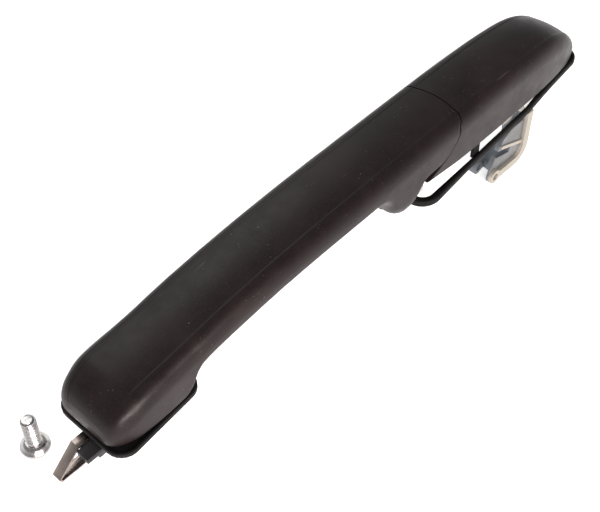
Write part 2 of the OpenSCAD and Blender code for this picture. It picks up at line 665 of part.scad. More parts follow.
plate_x0 = seam_x + 13;
plate_x1 = end_x - 16;
plate_half = half_w - 3.9;
boss_half = insert_d / 2 + 1.3;
boss_wall = 1.7;
boss_x0 = plate_x1 - boss_len - 1;
module carrier() {
    cheek_y = cheek_gap / 2;
    color([0.74, 0.74, 0.72]) difference() {
        union() {
            difference() {
                intersection() {
                    box(plate_x0, plate_x1, -plate_half, plate_half, plate_h, plate_top);
                    cap_inner_plan(fit_gap);
                }
                box(plate_x0 - 1, boss_x0 - 3.6, -cheek_y, cheek_y, 0, far);
                box(lever_x - 5, lever_x + 5, -far, far, 0, far);
            }
            for (side = [-1, 1]) {
                box(lever_x - 11, lever_x + 10, side > 0 ? cheek_y : -cheek_y - cheek_t,
                    side > 0 ? cheek_y + cheek_t : -cheek_y, plate_h, lever_h + cheek_r);
                bar(lever_x, lever_h, cheek_r, side > 0 ? cheek_y : -cheek_y - cheek_t,
                    side > 0 ? cheek_y + cheek_t : -cheek_y);
                box(plate_x0 + 17, plate_x0 + 23, side > 0 ? plate_half - 1 : -half_w + 1.6,
                    side > 0 ? half_w - 1.6 : -plate_half + 1, plate_top - 0.4, cap_h - 0.3);
            }
            box(boss_x0, plate_x1, -boss_half, boss_half, -bolt_drop - insert_d / 2 - boss_wall,
                plate_top);
        }
        bar(lever_x, lever_h, lever_pin_d / 2, -far, far);
        for (s = screw_spots) translate([s[0], s[1], 0]) cylinder(h = 9, d = screw_d);
        translate([boss_x0 - 1, 0, -bolt_drop]) rotate([0, 90, 0])
            cylinder(h = boss_len + 9, d = insert_d);
    }
}

module thread_insert() {
    color([0.8, 0.8, 0.8]) translate([boss_x0, 0, -bolt_drop]) rotate([0, 90, 0]) difference() {
        cylinder(h = plate_x1 - boss_x0, d = insert_d);
        translate([0, 0, -1]) cylinder(h = boss_len + 9, d = bolt_d - 1);
    }
}

pin_half = cheek_gap / 2 + cheek_t + 1.2;
pin_head_t = 1.4;
clip_seat_r = lever_pin_d / 2 - 0.5;
module lever_pin() {
    color([0.75, 0.75, 0.76]) difference() {
        union() {
            bar(lever_x, lever_h, lever_pin_d / 2, -pin_half, pin_half);
            bar(lever_x, lever_h, lever_pin_d / 2 + 1.4, -cheek_gap / 2 - cheek_t - pin_head_t,
                -cheek_gap / 2 - cheek_t);
        }
        difference() {
            bar(lever_x, lever_h, lever_pin_d, pin_half - 1.1, pin_half - 0.3);
            bar(lever_x, lever_h, clip_seat_r, pin_half - 2, pin_half);
        }
    }
}

module pin_clip() {
    color([0.35, 0.35, 0.36]) difference() {
        bar(lever_x, lever_h, lever_pin_d / 2 + 1.6, pin_half - 1.05, pin_half - 0.35);
        bar(lever_x, lever_h, clip_seat_r + run_gap, pin_half - 3, pin_half + 3);
        box(lever_x - clip_seat_r * 0.8, lever_x + clip_seat_r * 0.8, 0, far, lever_h - far,
            lever_h);
    }
}

// ---------------------------------------------------------------- release lever

hub_y0 = -cheek_gap / 2 + 0.4;
hub_y1 = cheek_gap / 2 - 4;
hub_r = 5.6;
lever_bush_wall = 1;
tip_x = hook_x + leg_t + tip_d / 2 + 1.5;
tip_z = -toe_drop + hook_t + tip_d / 2 + 0.1;
ear_x = lever_x - 20;
ear_z = -lever_drop + ear_d / 2 - 1;
out_y = -ears_w;
ear_w = 3;
web_y1 = out_y + 2 + web_t;
rim_x = lever_x + 4;
rim_r = 9;
flange_top = lever_h - cheek_r - 1;
tip_core_r = tip_d / 2 - 1;
neck_t = 2.2;
// Lever flange seen from the side: down the rear, round the corner, forward to the ears.
module rim_profile(t) {
    corner = [rim_x - rim_r, -lever_drop + rim_r];
    difference() {
        union() {
            translate([rim_x - rim_r, corner[1]]) square([rim_r, flange_top - corner[1]]);
            translate([ear_x, -lever_drop]) square([corner[0] - ear_x, rim_r]);
            translate(corner) circle(r = rim_r);
        }
        if (t < rim_r) {
            translate([ear_x - 1, corner[1]]) square([rim_x - t - ear_x + 1, far]);
            translate([ear_x - 1, -lever_drop + t]) square([corner[0] - ear_x + 1, far]);
            translate(corner) circle(r = rim_r - t);
        }
    }
}
module release_lever() {
    arm_start = [lever_x, lever_h];
    tip = [tip_x, tip_z];
    along = (tip - arm_start) / norm(tip - arm_start);
    neck = tip - along * (tip_d / 2 + 5);
    color([0.75, 0.75, 0.72]) difference() {
        union() {
            bar(lever_x, lever_h, hub_r, hub_y0, hub_y1);
            side_extrude(-arm_w / 2, arm_w / 2) union() {
                strip(arm_start, neck, 4.6);
                strip(neck, tip, neck_t);
                translate(tip) circle(r = tip_core_r);
            }
            box(rim_x - 9, rim_x, hub_y0, hub_y1 - 0.4, -10, lever_h);
            side_extrude(out_y, 0) rim_profile(flange_t);
            side_extrude(out_y + 2, web_y1) polygon([[rim_x - 1, -8], [rim_x - 1, -lever_drop + 8],
                [rim_x - 8, -lever_drop + 1], [ear_x, -lever_drop + 1], [ear_x - 3, ear_z + 3],
                [ear_x + 5, -11], [ear_x + 11, -8]]);
            side_extrude(out_y + 1, out_y + 2.6)
                strip([rim_x - 20, -14], [rim_x - 2, -21], 1.6);
            for (y = [out_y, -ear_w])
                bar(ear_x, ear_z, ear_d / 2, y, y + ear_w);
        }
        bar(lever_x, lever_h, lever_pin_d / 2 + lever_bush_wall, -far, far);
        bar(ear_x, ear_z, rod_eye_d / 2, -far, far);
        box(ear_x - ear_d, ear_x + ear_d / 2 + 0.6, out_y + ear_w, -ear_w, -far,
            ear_z + ear_d / 2 + 0.6);
        side_extrude(out_y - 1, web_y1 + 1) translate([ear_x + 6.5, -18.8]) rotate(-15)
            square([11, 3.4], center = true);
    }
}
module lever_bushes() {
    color([0.85, 0.83, 0.76]) difference() {
        bar(lever_x, lever_h, lever_pin_d / 2 + lever_bush_wall, hub_y0 - 0.2, hub_y1 + 0.2);
        bar(lever_x, lever_h, lever_pin_d / 2 + run_gap, -far, far);
    }
}

module tip_sleeve() {
    arm_start = [lever_x, lever_h];
    tip = [tip_x, tip_z];
    color([0.85, 0.83, 0.76]) side_extrude(-arm_w / 2, arm_w / 2) difference() {
        translate(tip) circle(r = tip_d / 2);
        translate(tip) circle(r = tip_core_r + run_gap);
        strip(arm_start, tip, neck_t + 2 * run_gap);
    }
}

spring_r = 4.4;
wire_d = 0.9;
spring_turns = 3;
spring_sides = 8;
ring_count = 20;
module lever_spring() {
    y0 = hub_y1 + 0.4 + wire_d / 2;
    pitch = (cheek_gap / 2 - hub_y1 - 0.6 - wire_d) / spring_turns;
    steps = spring_turns * ring_count;
    points = [for (k = [0:steps]) let(a = 360 * k / ring_count)
        for (i = [0:spring_sides - 1]) let(b = 360 * i / spring_sides,
            r = spring_r + wire_d / 2 * cos(b))
            [lever_x + r * cos(a), y0 + pitch * k / ring_count + wire_d / 2 * sin(b),
                lever_h + r * sin(a)]];
    walls = [for (k = [0:steps - 1]) for (i = [0:spring_sides - 1])
        let(j = (i + 1) % spring_sides, p = k * spring_sides, q = p + spring_sides)
        each [[p + i, q + j, p + j], [p + i, q + i, q + j]]];
    ends = [[for (i = [0:spring_sides - 1]) i],
        [for (i = [spring_sides - 1:-1:0]) steps * spring_sides + i]];
    color([0.45, 0.45, 0.47]) polyhedron(points = points, faces = concat(walls, ends),
        convexity = 6);
}

// ---------------------------------------------------------------- loose fixing bolt

bolt_x = -26;
bolt_y = 29;
bolt_base = ear_z - ear_d / 2;
socket_d = 3.6;
module fixing_bolt() {
    color([0.82, 0.82, 0.8]) translate([bolt_x, bolt_y, bolt_base]) difference() {
        union() {
            cylinder(h = bolt_head_h * 0.45, d = bolt_head_d);
            cylinder(h = bolt_head_h, d1 = bolt_head_d - 0.4, d2 = bolt_d + 2);
            translate([0, 0, bolt_head_h - eps]) cylinder(h = bolt_len - 1, d = bolt_d);
            translate([0, 0, bolt_head_h + bolt_len - 1.1]) cylinder(h = 1, d1 = bolt_d,
                d2 = bolt_d - 1.6);
        }
        translate([0, 0, -1]) cylinder(h = 3, d = socket_d, $fn = 6);
    }
}

grip_shell();
grip_cover();
grip_core();
pull_hook();
hook_screws();
hinge_pin();
rear_foot_buffer();
front_base();
hinge_bushes();
front_gasket();
spring_clip();
cap_shell();
cap_frame();
cap_screws();
rear_gasket();
carrier();
thread_insert();
lever_pin();
pin_clip();
lever_spring();
release_lever();
lever_bushes();
tip_sleeve();
fixing_bolt();
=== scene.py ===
"""Exterior car door handle: hinged grip, end cap, seat gaskets, release lever and a loose bolt."""
import json
from math import cos, pi, radians, sin

import bmesh
import bpy
import numpy as np
from mathutils import Matrix, Vector


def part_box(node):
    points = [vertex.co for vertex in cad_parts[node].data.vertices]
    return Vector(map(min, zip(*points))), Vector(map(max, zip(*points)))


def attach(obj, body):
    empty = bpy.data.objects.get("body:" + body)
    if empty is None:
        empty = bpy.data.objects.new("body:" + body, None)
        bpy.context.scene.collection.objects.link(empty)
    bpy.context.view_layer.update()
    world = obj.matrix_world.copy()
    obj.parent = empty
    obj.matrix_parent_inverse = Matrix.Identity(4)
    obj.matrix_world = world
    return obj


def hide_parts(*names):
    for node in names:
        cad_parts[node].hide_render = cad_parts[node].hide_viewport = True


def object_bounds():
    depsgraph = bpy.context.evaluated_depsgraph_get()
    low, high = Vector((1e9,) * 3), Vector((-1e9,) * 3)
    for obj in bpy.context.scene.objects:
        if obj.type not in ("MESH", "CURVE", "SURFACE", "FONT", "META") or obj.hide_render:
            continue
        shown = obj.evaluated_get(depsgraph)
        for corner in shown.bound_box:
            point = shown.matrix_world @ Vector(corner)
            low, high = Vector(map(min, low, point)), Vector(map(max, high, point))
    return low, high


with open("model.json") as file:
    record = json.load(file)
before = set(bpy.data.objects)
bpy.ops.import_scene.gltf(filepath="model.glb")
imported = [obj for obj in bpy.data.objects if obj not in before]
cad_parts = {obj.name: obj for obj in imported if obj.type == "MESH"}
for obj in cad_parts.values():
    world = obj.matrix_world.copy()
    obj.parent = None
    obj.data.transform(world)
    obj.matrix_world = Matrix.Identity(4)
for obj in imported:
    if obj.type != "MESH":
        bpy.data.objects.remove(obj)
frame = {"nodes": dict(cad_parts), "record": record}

MM = 0.001
cad_lo, cad_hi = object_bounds()


def box_mm(node):
    """Lowest and highest corner of a CAD node, in millimetres."""
    lo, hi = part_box(node)
    return lo / MM, hi / MM


# ------------------------------------------------------------------ leading dimensions, mm

grip_lo, grip_hi = box_mm("grip_shell")
cap_lo, cap_hi = box_mm("cap_shell")
hook_lo, hook_hi = box_mm("pull_hook")
SEAM_GAP = 0.6
WALL = 2.6
ROOF_T = WALL + 0.9
FOOT_LEN = 36
STRAP_T = 13.4
EDGE_SOFT = 5
CREASE_HALF = 11
CROWN_DROP = 1.2
SHOULDER_DROP = 7.3
CAP_EDGE = 0.8
COVER_BACK, COVER_LEN, COVER_W = 12, 82, 21.6
REAR_FOOT_BACK, REAR_FOOT_LIFT, FOOT_LIFT = 35, 2, 3
NOSE_ROUND, END_ROUND = 0.6, 0.4
NOSE_RUN, TAIL_RUN = 14, 24
nose_x = grip_lo.x
end_x = cap_hi.x
cap_front_x = cap_lo.x - SEAM_GAP / 2
seam_x = cap_front_x + 24.9
rear_foot_x = seam_x - REAR_FOOT_BACK
foot_end = nose_x + FOOT_LEN
half_w = grip_hi.y
crown_h = cap_hi.z - 0.5
cap_h = cap_lo.z + 1
corner_z = cap_h + 2.1
cavity_half = half_w - WALL - 1.2
bend_x, tip_bend_x = end_x - 29, seam_x + 6
FAR = 400


def curve(points):
    """Smooth height through listed points, as a function of x."""
    xs, ys = (np.array(c, float) for c in zip(*points))
    last = len(xs) - 1
    slopes = [(ys[min(i + 1, last)] - ys[max(i - 1, 0)]) / (xs[min(i + 1, last)] - xs[max(i - 1, 0)])
              for i in range(last + 1)]

    def at(x):
        i = int(np.clip(np.searchsorted(xs, x, side="right") - 1, 0, last - 1))
        h = xs[i + 1] - xs[i]
        t = (x - xs[i]) / h
        return ((2 * t**3 - 3 * t**2 + 1) * ys[i] + (t**3 - 2 * t**2 + t) * h * slopes[i]
                + (3 * t**2 - 2 * t**3) * ys[i + 1] + (t**3 - t**2) * h * slopes[i + 1])
    return at


# Crown line, underside of the grip, lower edge of the cap, half width and lower edge radius.
top_z = curve([
    (nose_x, 8.6), (nose_x + 0.8, 11.2), (nose_x + 3, 14.4), (nose_x + 7, 17.4), (nose_x + 14, 20.6),
    (nose_x + 30, crown_h - 11.5), (nose_x + 60, crown_h - 6.8), (nose_x + 96, crown_h - 3.5),
    (seam_x - 50, crown_h - 1.5), (seam_x, crown_h), (seam_x + 22, crown_h + 0.5),
    (end_x - 47, crown_h + 0.1), (end_x - 27, crown_h - 1.7), (end_x - 15, crown_h - 6.2),
    (end_x - 7, crown_h - 12.6), (end_x - 2.4, crown_h - 18.6), (end_x, crown_h - 23)])
strap_z = crown_h - STRAP_T
grip_z = curve([
    (nose_x, FOOT_LIFT + 0.7), (nose_x + 3, FOOT_LIFT), (foot_end - 4, FOOT_LIFT),
    (foot_end, FOOT_LIFT + 2), (foot_end + 3, FOOT_LIFT + 6.5), (foot_end + 8, strap_z - 9.2),
    (foot_end + 20, strap_z - 7), (foot_end + 50, strap_z - 3.6), (rear_foot_x - 26, strap_z - 2),
    (rear_foot_x - 17, strap_z - 2.6), (rear_foot_x - 12, strap_z - 6.8),
    (rear_foot_x - 8, REAR_FOOT_LIFT + 4.4), (rear_foot_x - 4, REAR_FOOT_LIFT + 0.8),
    (rear_foot_x, REAR_FOOT_LIFT), (rear_foot_x + 3.5, REAR_FOOT_LIFT + 1.2),
    (rear_foot_x + 6, REAR_FOOT_LIFT + 4.2), (cap_front_x, corner_z), (seam_x + 6, corner_z)])
cap_z = curve([(cap_front_x, corner_z), (cap_front_x + 10, cap_h + 1.1), (cap_front_x + 24, cap_h),
               (end_x - 22, cap_h), (end_x, cap_h - 1)])
side_y = curve([
    (nose_x, half_w - 6.6), (nose_x + 0.8, half_w - 4.6), (nose_x + 2.4, half_w - 2.9),
    (nose_x + 5.5, half_w - 1.3), (nose_x + 12, half_w), (foot_end, half_w - 0.5),
    (foot_end + 40, half_w - 0.4), (seam_x - 60, half_w - 0.1), (seam_x, half_w - 0.3),
    (seam_x + 30, half_w - 0.7), (end_x - 36, half_w - 1.3), (end_x - 18, half_w - 3),
    (end_x - 8, half_w - 5.2), (end_x - 2.4, half_w - 7.6), (end_x, half_w - 9.6)])
edge_r = curve([
    (nose_x, 1.2), (foot_end - 4, 1.4), (foot_end + 10, EDGE_SOFT), (rear_foot_x - 20, EDGE_SOFT),
    (rear_foot_x - 6, EDGE_SOFT + 3), (rear_foot_x + 6, EDGE_SOFT + 3), (cap_front_x, EDGE_SOFT),
    (seam_x + 6, EDGE_SOFT)])


def seam_line():
    """Points of the seam seen from the side, from the cap's front corner up past the crown."""
    ctl = [(cap_front_x, corner_z), (seam_x - 9.6, 18.4), (seam_x - 5.4, 23), (seam_x - 4.8, 29)]
    points = [sum(w * np.array(c) for w, c in zip(
        ((1 - t)**3, 3 * t * (1 - t)**2, 3 * t**2 * (1 - t), t**3), ctl))
        for t in np.linspace(0, 1, 30)]
    return points + [np.array((seam_x + 0.5, crown_h + 2.4)), np.array((seam_x + 2, crown_h + 12))]


SEAM = seam_line()


def seam_at(z):
    """Where along x the seam is at height z."""
    return float(np.interp(z, [p[1] for p in SEAM], [p[0] for p in SEAM]))


# ------------------------------------------------------------------ mesh helpers

def mesh_object(name, points, faces):
    """New object from points in millimetres, with its faces turned outwards."""
    mesh = bpy.data.meshes.new(name)
    mesh.from_pydata([Vector(p) * MM for p in points], [], faces)
    obj = bpy.data.objects.new(name, mesh)
    bpy.context.scene.collection.objects.link(obj)
    tidy_mesh(obj, merge=1e-7)
    return obj


def tidy_mesh(obj, merge, flat_angle=None):
    """Join doubled points, optionally clear edges inside flat faces, and turn the faces outwards."""
    bm = bmesh.new()
    bm.from_mesh(obj.data)
    bmesh.ops.remove_doubles(bm, verts=bm.verts, dist=merge)
    if flat_angle:
        bmesh.ops.dissolve_limit(bm, angle_limit=flat_angle, verts=bm.verts, edges=bm.edges)
    bmesh.ops.recalc_face_normals(bm, faces=bm.faces)
    bm.to_mesh(obj.data)
    bm.free()


def shade(obj, angle=32):
    """Smooth shading with creases wherever two faces meet at more than the angle."""
    bm = bmesh.new()
    bm.from_mesh(obj.data)
    for face in bm.faces:
        face.smooth = True
    for edge in bm.edges:
        edge.smooth = edge.calc_face_angle(0) < radians(angle)
    bm.to_mesh(obj.data)
    bm.free()


def bake(obj):
    """Apply an object's modifiers to its own mesh."""
    graph = bpy.context.evaluated_depsgraph_get()
    mesh = bpy.data.meshes.new_from_object(obj.evaluated_get(graph))
    obj.modifiers.clear()
    obj.data = mesh


def cut(obj, cutter, operation="DIFFERENCE"):
    """Cut an object with another, which is used up."""
    mod = obj.modifiers.new("cut", "BOOLEAN")
    mod.object = cutter
    mod.operation = operation
    mod.solver = "EXACT"
    bake(obj)
    bpy.data.objects.remove(cutter)


def round_edges(obj, width):
    """Rounded edges, width in millimetres, wherever faces meet at more than 35 degrees."""
    mod = obj.modifiers.new("round", "BEVEL")
    mod.width = width * MM
    mod.segments = 2
    mod.limit_method = "ANGLE"
    mod.angle_limit = radians(35)
    bake(obj)


def grid_faces(rows, columns, closed_rows=True, closed_columns=True):
    """Four-sided faces between neighbours in a grid of points that may close on itself both ways."""
    return [(r * columns + c, r * columns + (c + 1) % columns,
             (r + 1) % rows * columns + (c + 1) % columns, (r + 1) % rows * columns + c)
            for r in range(rows if closed_rows else rows - 1)
            for c in range(columns if closed_columns else columns - 1)]


def drawn_out(outline, low, high, place):
    """Outline drawn out between two levels; place makes a point of its two numbers and a level."""
    n = len(outline)
    points = [place(a, b, level) for level in (low, high) for a, b in outline]
    sides = [(i, (i + 1) % n, n + (i + 1) % n, n + i) for i in range(n)]
    return mesh_object("drawn_out", points, sides + [tuple(range(n)), tuple(range(n, 2 * n))])


def prism(outline, y0, y1):
    """Outline of the XZ plane drawn out along Y."""
    return drawn_out(outline, y0, y1, lambda x, z, y: (x, y, z))


def column(outline, z0, z1):
    """Outline of the XY plane drawn out along Z."""
    return drawn_out(outline, z0, z1, lambda x, y, z: (x, y, z))


def block(x0, x1, y0, y1, z0, z1):
    """Square block between two corners."""
    return prism([(x0, z0), (x1, z0), (x1, z1), (x0, z1)], y0, y1)


def join(target, *others):
    """Add other objects' meshes to one object."""
    bm = bmesh.new()
    bm.from_mesh(target.data)
    for other in others:
        bm.from_mesh(other.data)
        bpy.data.objects.remove(other)
    bm.to_mesh(target.data)
    bm.free()


def turned(name, outline, sides=64):
    """Solid turned about the Z axis from a list of radius and height."""
    n = len(outline)
    points = [(r * cos(2 * pi * k / sides), r * sin(2 * pi * k / sides), z)
              for k in range(sides) for r, z in outline]
    ends = [tuple(k * n for k in range(sides)), tuple(k * n + n - 1 for k in range(sides))]
    return mesh_object(name, points, grid_faces(sides, n, closed_columns=False) + ends)


# ------------------------------------------------------------------ materials

class Nodes:
    """Small helper that builds the node graph of one procedural material."""

    def __init__(self, name, base, rough, metallic=0.0, specular=0.5):
        self.material = bpy.data.materials.new(name)
        self.material.use_nodes = True
        self.tree = self.material.node_tree
        self.shader = self.tree.nodes["Principled BSDF"]
        self.shader.inputs["Base Color"].default_value = (*base, 1)
        self.shader.inputs["Roughness"].default_value = rough
        self.shader.inputs["Metallic"].default_value = metallic
        self.shader.inputs["Specular IOR Level"].default_value = specular
        self.place = self.tree.nodes.new("ShaderNodeTexCoord").outputs["Object"]
        self.height = None

    def link(self, a, b):
        """Wire an output to an input."""
        self.tree.links.new(a, b)

    def stretched(self, factors, turn=0.0):
        """Object coordinates stretched along each axis and turned about Z."""
        node = self.tree.nodes.new("ShaderNodeMapping")
        node.inputs["Scale"].default_value = factors
        node.inputs["Rotation"].default_value = (0, 0, turn)
        self.link(self.place, node.inputs["Vector"])
        return node.outputs[0]

    def noise(self, size_mm, detail, place=None):
        """Cloudy noise from 0 to 1, with blots of about the size given."""
        node = self.tree.nodes.new("ShaderNodeTexNoise")
        node.inputs["Scale"].default_value = 1 / (size_mm * MM)
        node.inputs["Detail"].default_value = detail
        self.link(place or self.place, node.inputs["Vector"])
        return node.outputs["Fac"]

    def span(self, value, a, b, low=0.0, high=1.0):
        """Map the values a to b onto low to high, and hold them there outside."""
        node = self.tree.nodes.new("ShaderNodeMapRange")
        for key, number in zip(("From Min", "From Max", "To Min", "To Max"), (a, b, low, high)):
            node.inputs[key].default_value = number
        self.link(value, node.inputs["Value"])
        return node.outputs["Result"]

    def along(self, axis):
        """Object coordinate along one axis, in metres."""
        node = self.tree.nodes.new("ShaderNodeSeparateXYZ")
        self.link(self.place, node.inputs[0])
        return node.outputs[axis]

    def product(self, a, b):
        """One value times another."""
        node = self.tree.nodes.new("ShaderNodeMath")
        node.operation = "MULTIPLY"
        self.link(a, node.inputs[0])
        self.link(b, node.inputs[1])
        return node.outputs[0]

    def tint(self, mask, colour):
        """Blend a colour over what the base colour is so far."""
        node = self.tree.nodes.new("ShaderNodeMix")
        node.data_type = "RGBA"
        base = self.shader.inputs["Base Color"]
        if base.is_linked:
            self.link(base.links[0].from_socket, node.inputs[6])
        else:
            node.inputs[6].default_value = base.default_value
        node.inputs[7].default_value = (*colour, 1)
        self.link(mask, node.inputs[0])
        self.link(node.outputs[2], base)

    def roughness(self, value, low, high):
        """Roughness that follows a noise between two values."""
        self.link(self.span(value, 0.3, 0.7, low, high), self.shader.inputs["Roughness"])

    def bump(self, value, depth_mm):
        """Fine relief on top of what there is so far."""
        node = self.tree.nodes.new("ShaderNodeBump")
        node.inputs["Distance"].default_value = depth_mm * MM
        self.link(value, node.inputs["Height"])
        if self.height:
            self.link(self.height, node.inputs["Normal"])
        self.height = node.outputs[0]
        self.link(self.height, self.shader.inputs["Normal"])

    def worn_edges(self, colour):
        """Lighter colour on outside edges, broken up by a patchy noise."""
        shape = self.tree.nodes.new("ShaderNodeNewGeometry").outputs["Pointiness"]
        patches = self.span(self.noise(2.5, 4), 0.42, 0.6)
        self.tint(self.product(self.span(shape, 0.53, 0.62), patches), colour)


def moulded(name, base, pale, rough, grain_mm=0.5, grain_depth=0.03, dust=0.10, specular=0.22):
    """Moulded plastic: fine grain, slow colour drift, dust specks and faint scratches."""
    m = Nodes(name, base, rough, specular=specular)
    m.tint(m.span(m.noise(0.6, 2), 0.35, 0.65, 0.0, 0.7), pale)
    drift = m.noise(24, 3)
    m.tint(m.span(drift, 0.4, 0.7), pale)
    specks = m.span(m.noise(0.7, 1), 0.74, 0.79)
    m.tint(m.product(specks, m.span(m.noise(14, 2), 0.45, 0.62, 0.0, dust * 4)), (0.42, 0.40, 0.38))
    scratches = m.span(m.noise(1.0, 2, m.stretched((0.05, 1.0, 0.6), 0.35)), 0.70, 0.76)
    m.tint(m.product(scratches, m.span(drift, 0.5, 0.65, 0.0, dust * 2)), (0.30, 0.28, 0.27))
    m.roughness(m.noise(6, 4), rough - 0.06, rough + 0.07)
    m.bump(m.noise(grain_mm, 2), grain_depth)
    return m.material


def rubber(name, base, pale):
    """Matt rubber with a dusty bloom and a slightly uneven skin."""
    m = Nodes(name, base, 0.7, specular=0.15)
    m.tint(m.span(m.noise(7, 4), 0.42, 0.68, 0.0, 0.6), pale)
    m.tint(m.span(m.noise(0.5, 1), 0.75, 0.8, 0.0, 0.2), (0.2, 0.19, 0.18))
    m.roughness(m.noise(3, 3), 0.58, 0.8)
    m.bump(m.noise(0.8, 3), 0.05)
    return m.material


def plated(name, base, shade_colour, rough, streak=(1, 1, 1)):
    """Plated or drawn steel: fine streaks, dull patches and brighter edges."""
    m = Nodes(name, base, rough, metallic=1.0)
    m.tint(m.span(m.noise(5, 4), 0.4, 0.66), shade_colour)
    m.roughness(m.noise(1.2, 3, m.stretched(streak)), rough - 0.07, rough + 0.12)
    m.bump(m.noise(0.35, 2, m.stretched(streak)), 0.006)
    m.worn_edges(tuple(min(1, 1.15 * c) for c in base))
    return m.material


def cast_zinc(name, base, shade_colour, rim=None):
    """Die-cast zinc: silvery skin with flow marks, grey oxide, and a paler rim if it has one, inside which
    the darker base colour is painted shade in the recessed web.
    """
    m = Nodes(name, base, 0.48, metallic=0.7)
    m.tint(m.span(m.noise(7, 4), 0.4, 0.7, 0.0, 0.7), shade_colour)
    # Outer rim left pale over a darker base: the darker web inside the rim is painted shade in its recess.
    if rim:
        edge_y, rim_w, rim_fade = box_mm("release_lever")[0].y, 1.2, 1.0
        rim_y = (edge_y + rim_w) * MM
        m.tint(m.span(m.along("Y"), rim_y, rim_y + rim_fade * MM, 0.9, 0.0), rim)
    m.tint(m.span(m.noise(0.9, 3), 0.66, 0.76, 0.0, 0.35), (0.16, 0.16, 0.17))
    m.roughness(m.noise(2.2, 3), 0.42, 0.58)
    m.bump(m.noise(0.9, 2), 0.02)
    return m.material


MATERIALS = {
    "satin_black_plastic": moulded("satin_black", (0.008, 0.0055, 0.0055), (0.018, 0.012, 0.012), 0.38),
    "cover_plastic": moulded("cover_black", (0.018, 0.018, 0.018), (0.026, 0.026, 0.026), 0.55, 0.8, 0.05),
    "filled_nylon": moulded("filled_nylon", (0.028, 0.028, 0.032), (0.045, 0.045, 0.05), 0.58, 0.6, 0.04),
    "base_nylon": moulded("base_nylon", (0.012, 0.012, 0.013), (0.022, 0.022, 0.024), 0.4, 0.7, 0.04),
    "gasket_rubber": rubber("gasket_rubber", (0.007, 0.007, 0.007), (0.016, 0.015, 0.015)),
    "plated_steel": plated("plated_steel", (0.70, 0.69, 0.66), (0.52, 0.52, 0.52), 0.28),
    "spring_steel": plated("spring_steel", (0.40, 0.34, 0.31), (0.26, 0.21, 0.19), 0.2, (0.1, 1, 0.1)),
    "zinc_casting": cast_zinc("zinc_casting", (0.46, 0.45, 0.41), (0.34, 0.35, 0.36)),
    # Lever zinc much darker than the other casting: painted shade in the web recessed behind the pale rim.
    "release_lever": cast_zinc("zinc_lever_painted_shade", (0.19, 0.21, 0.23), (0.12, 0.135, 0.15), (0.50, 0.47, 0.40)),
    "bush_acetal": moulded("bush_acetal", (0.62, 0.60, 0.52), (0.70, 0.68, 0.60), 0.45, 0.9, 0.02),
    "bright_zinc_plate": plated("bright_zinc", (0.58, 0.56, 0.54), (0.40, 0.40, 0.41), 0.24),
}
SLOT_OF = {part["node"]: part["material_slot"] for part in frame["record"]["subparts"]}
BODY_OF = {node: body for body, nodes in frame["record"]["behaviour"]["bodies"].items() for node in nodes}


def finish_piece(obj, node, angle=32):
    """Give a piece its shading, finish and body, and hide the CAD node that it stands for."""
    shade(obj, angle)
    obj.data.materials.clear()
    obj.data.materials.append(MATERIALS.get(node) or MATERIALS[SLOT_OF[node]])
    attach(obj, BODY_OF[node])
    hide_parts(node)
    return obj


def from_node(node, width):
    """A CAD node with its edges rounded to the width in millimetres, or left as they are at 0."""
    obj = bpy.data.objects.new(node + ".piece", frame["nodes"][node].data.copy())
    bpy.context.scene.collection.objects.link(obj)
    tidy_mesh(obj, merge=2e-6, flat_angle=radians(0.5))
    if width:
        round_edges(obj, width)
    return finish_piece(obj, node)


# ------------------------------------------------------------------ grip and cap skins

CREASE_SHARE, SHOULDER_SHARE, EDGE_SHARE = 0.68, 0.5, 0.3
RIDGE_H, RIDGE_W = 0.16, 0.35
RIDGE_STEPS = (0.25, 0.55, 0.9)


def crease_ridge(away):
    """Height of the fine raised line along the crease between crown and shoulder."""
    return RIDGE_H * float(np.exp(-(away / RIDGE_W)**2))


def half_section(x, low, edge):
    """Half of the section at x: crown, creased shoulder, side and rounded lower edge."""
    zt, w = top_z(x), side_y(x)
    h = zt - low
    c = min(CREASE_HALF, w * CREASE_SHARE)
    drop = CROWN_DROP * c / CREASE_HALF
    s = min(SHOULDER_DROP, SHOULDER_SHARE * h)
    r = min(edge, EDGE_SHARE * h)
    crown = [(y, zt - drop * (y / c)**2 + crease_ridge(y - c))
             for y in (*np.linspace(0, c - RIDGE_STEPS[2], 9), c - RIDGE_STEPS[1], c - RIDGE_STEPS[0], c)]
    near = [float(np.arcsin(d / (w - c))) for d in RIDGE_STEPS]
    shoulder = [(c + (w - c) * sin(a), zt - drop - s * (1 - cos(a)) + crease_ridge((w - c) * sin(a)))
                for a in (*near, *np.linspace(near[-1], pi / 2, 16)[1:])]
    side = [(w, z) for z in np.linspace(zt - drop - s, low + r, 6)[1:-1]]
    lower = [(w - r + r * cos(a), low + r - r * sin(a)) for a in np.linspace(0, pi / 2, 9)]
    return np.array(crown + shoulder + side + lower)


def seam_end(at, side):
    """The x at which each point of the section meets the seam, on the grip's or the cap's side."""
    ends = np.full(len(at(seam_x)), float(seam_x))
    rounds = 60
    for _ in range(rounds):
        heights = [at(x)[j][1] for j, x in enumerate(ends)]
        ends = 0.5 * ends + 0.5 * np.array([seam_at(z) + side * SEAM_GAP / 2 for z in heights])
    return ends


def skin_ring(at, xs, inset=0.0):
    """Half ring of the skin with its own x for every point, drawn in by the inset."""
    ring = []
    for j, x in enumerate(xs):
        half = at(x)
        before, after = half[max(j - 1, 0)], half[min(j + 1, len(half) - 1)]
        along = (after - before) / (np.linalg.norm(after - before) or 1)
        y, z = half[j] + inset * np.array((along[1], -along[0]))
        ring.append((x, max(y, 0.0), z))
    return ring


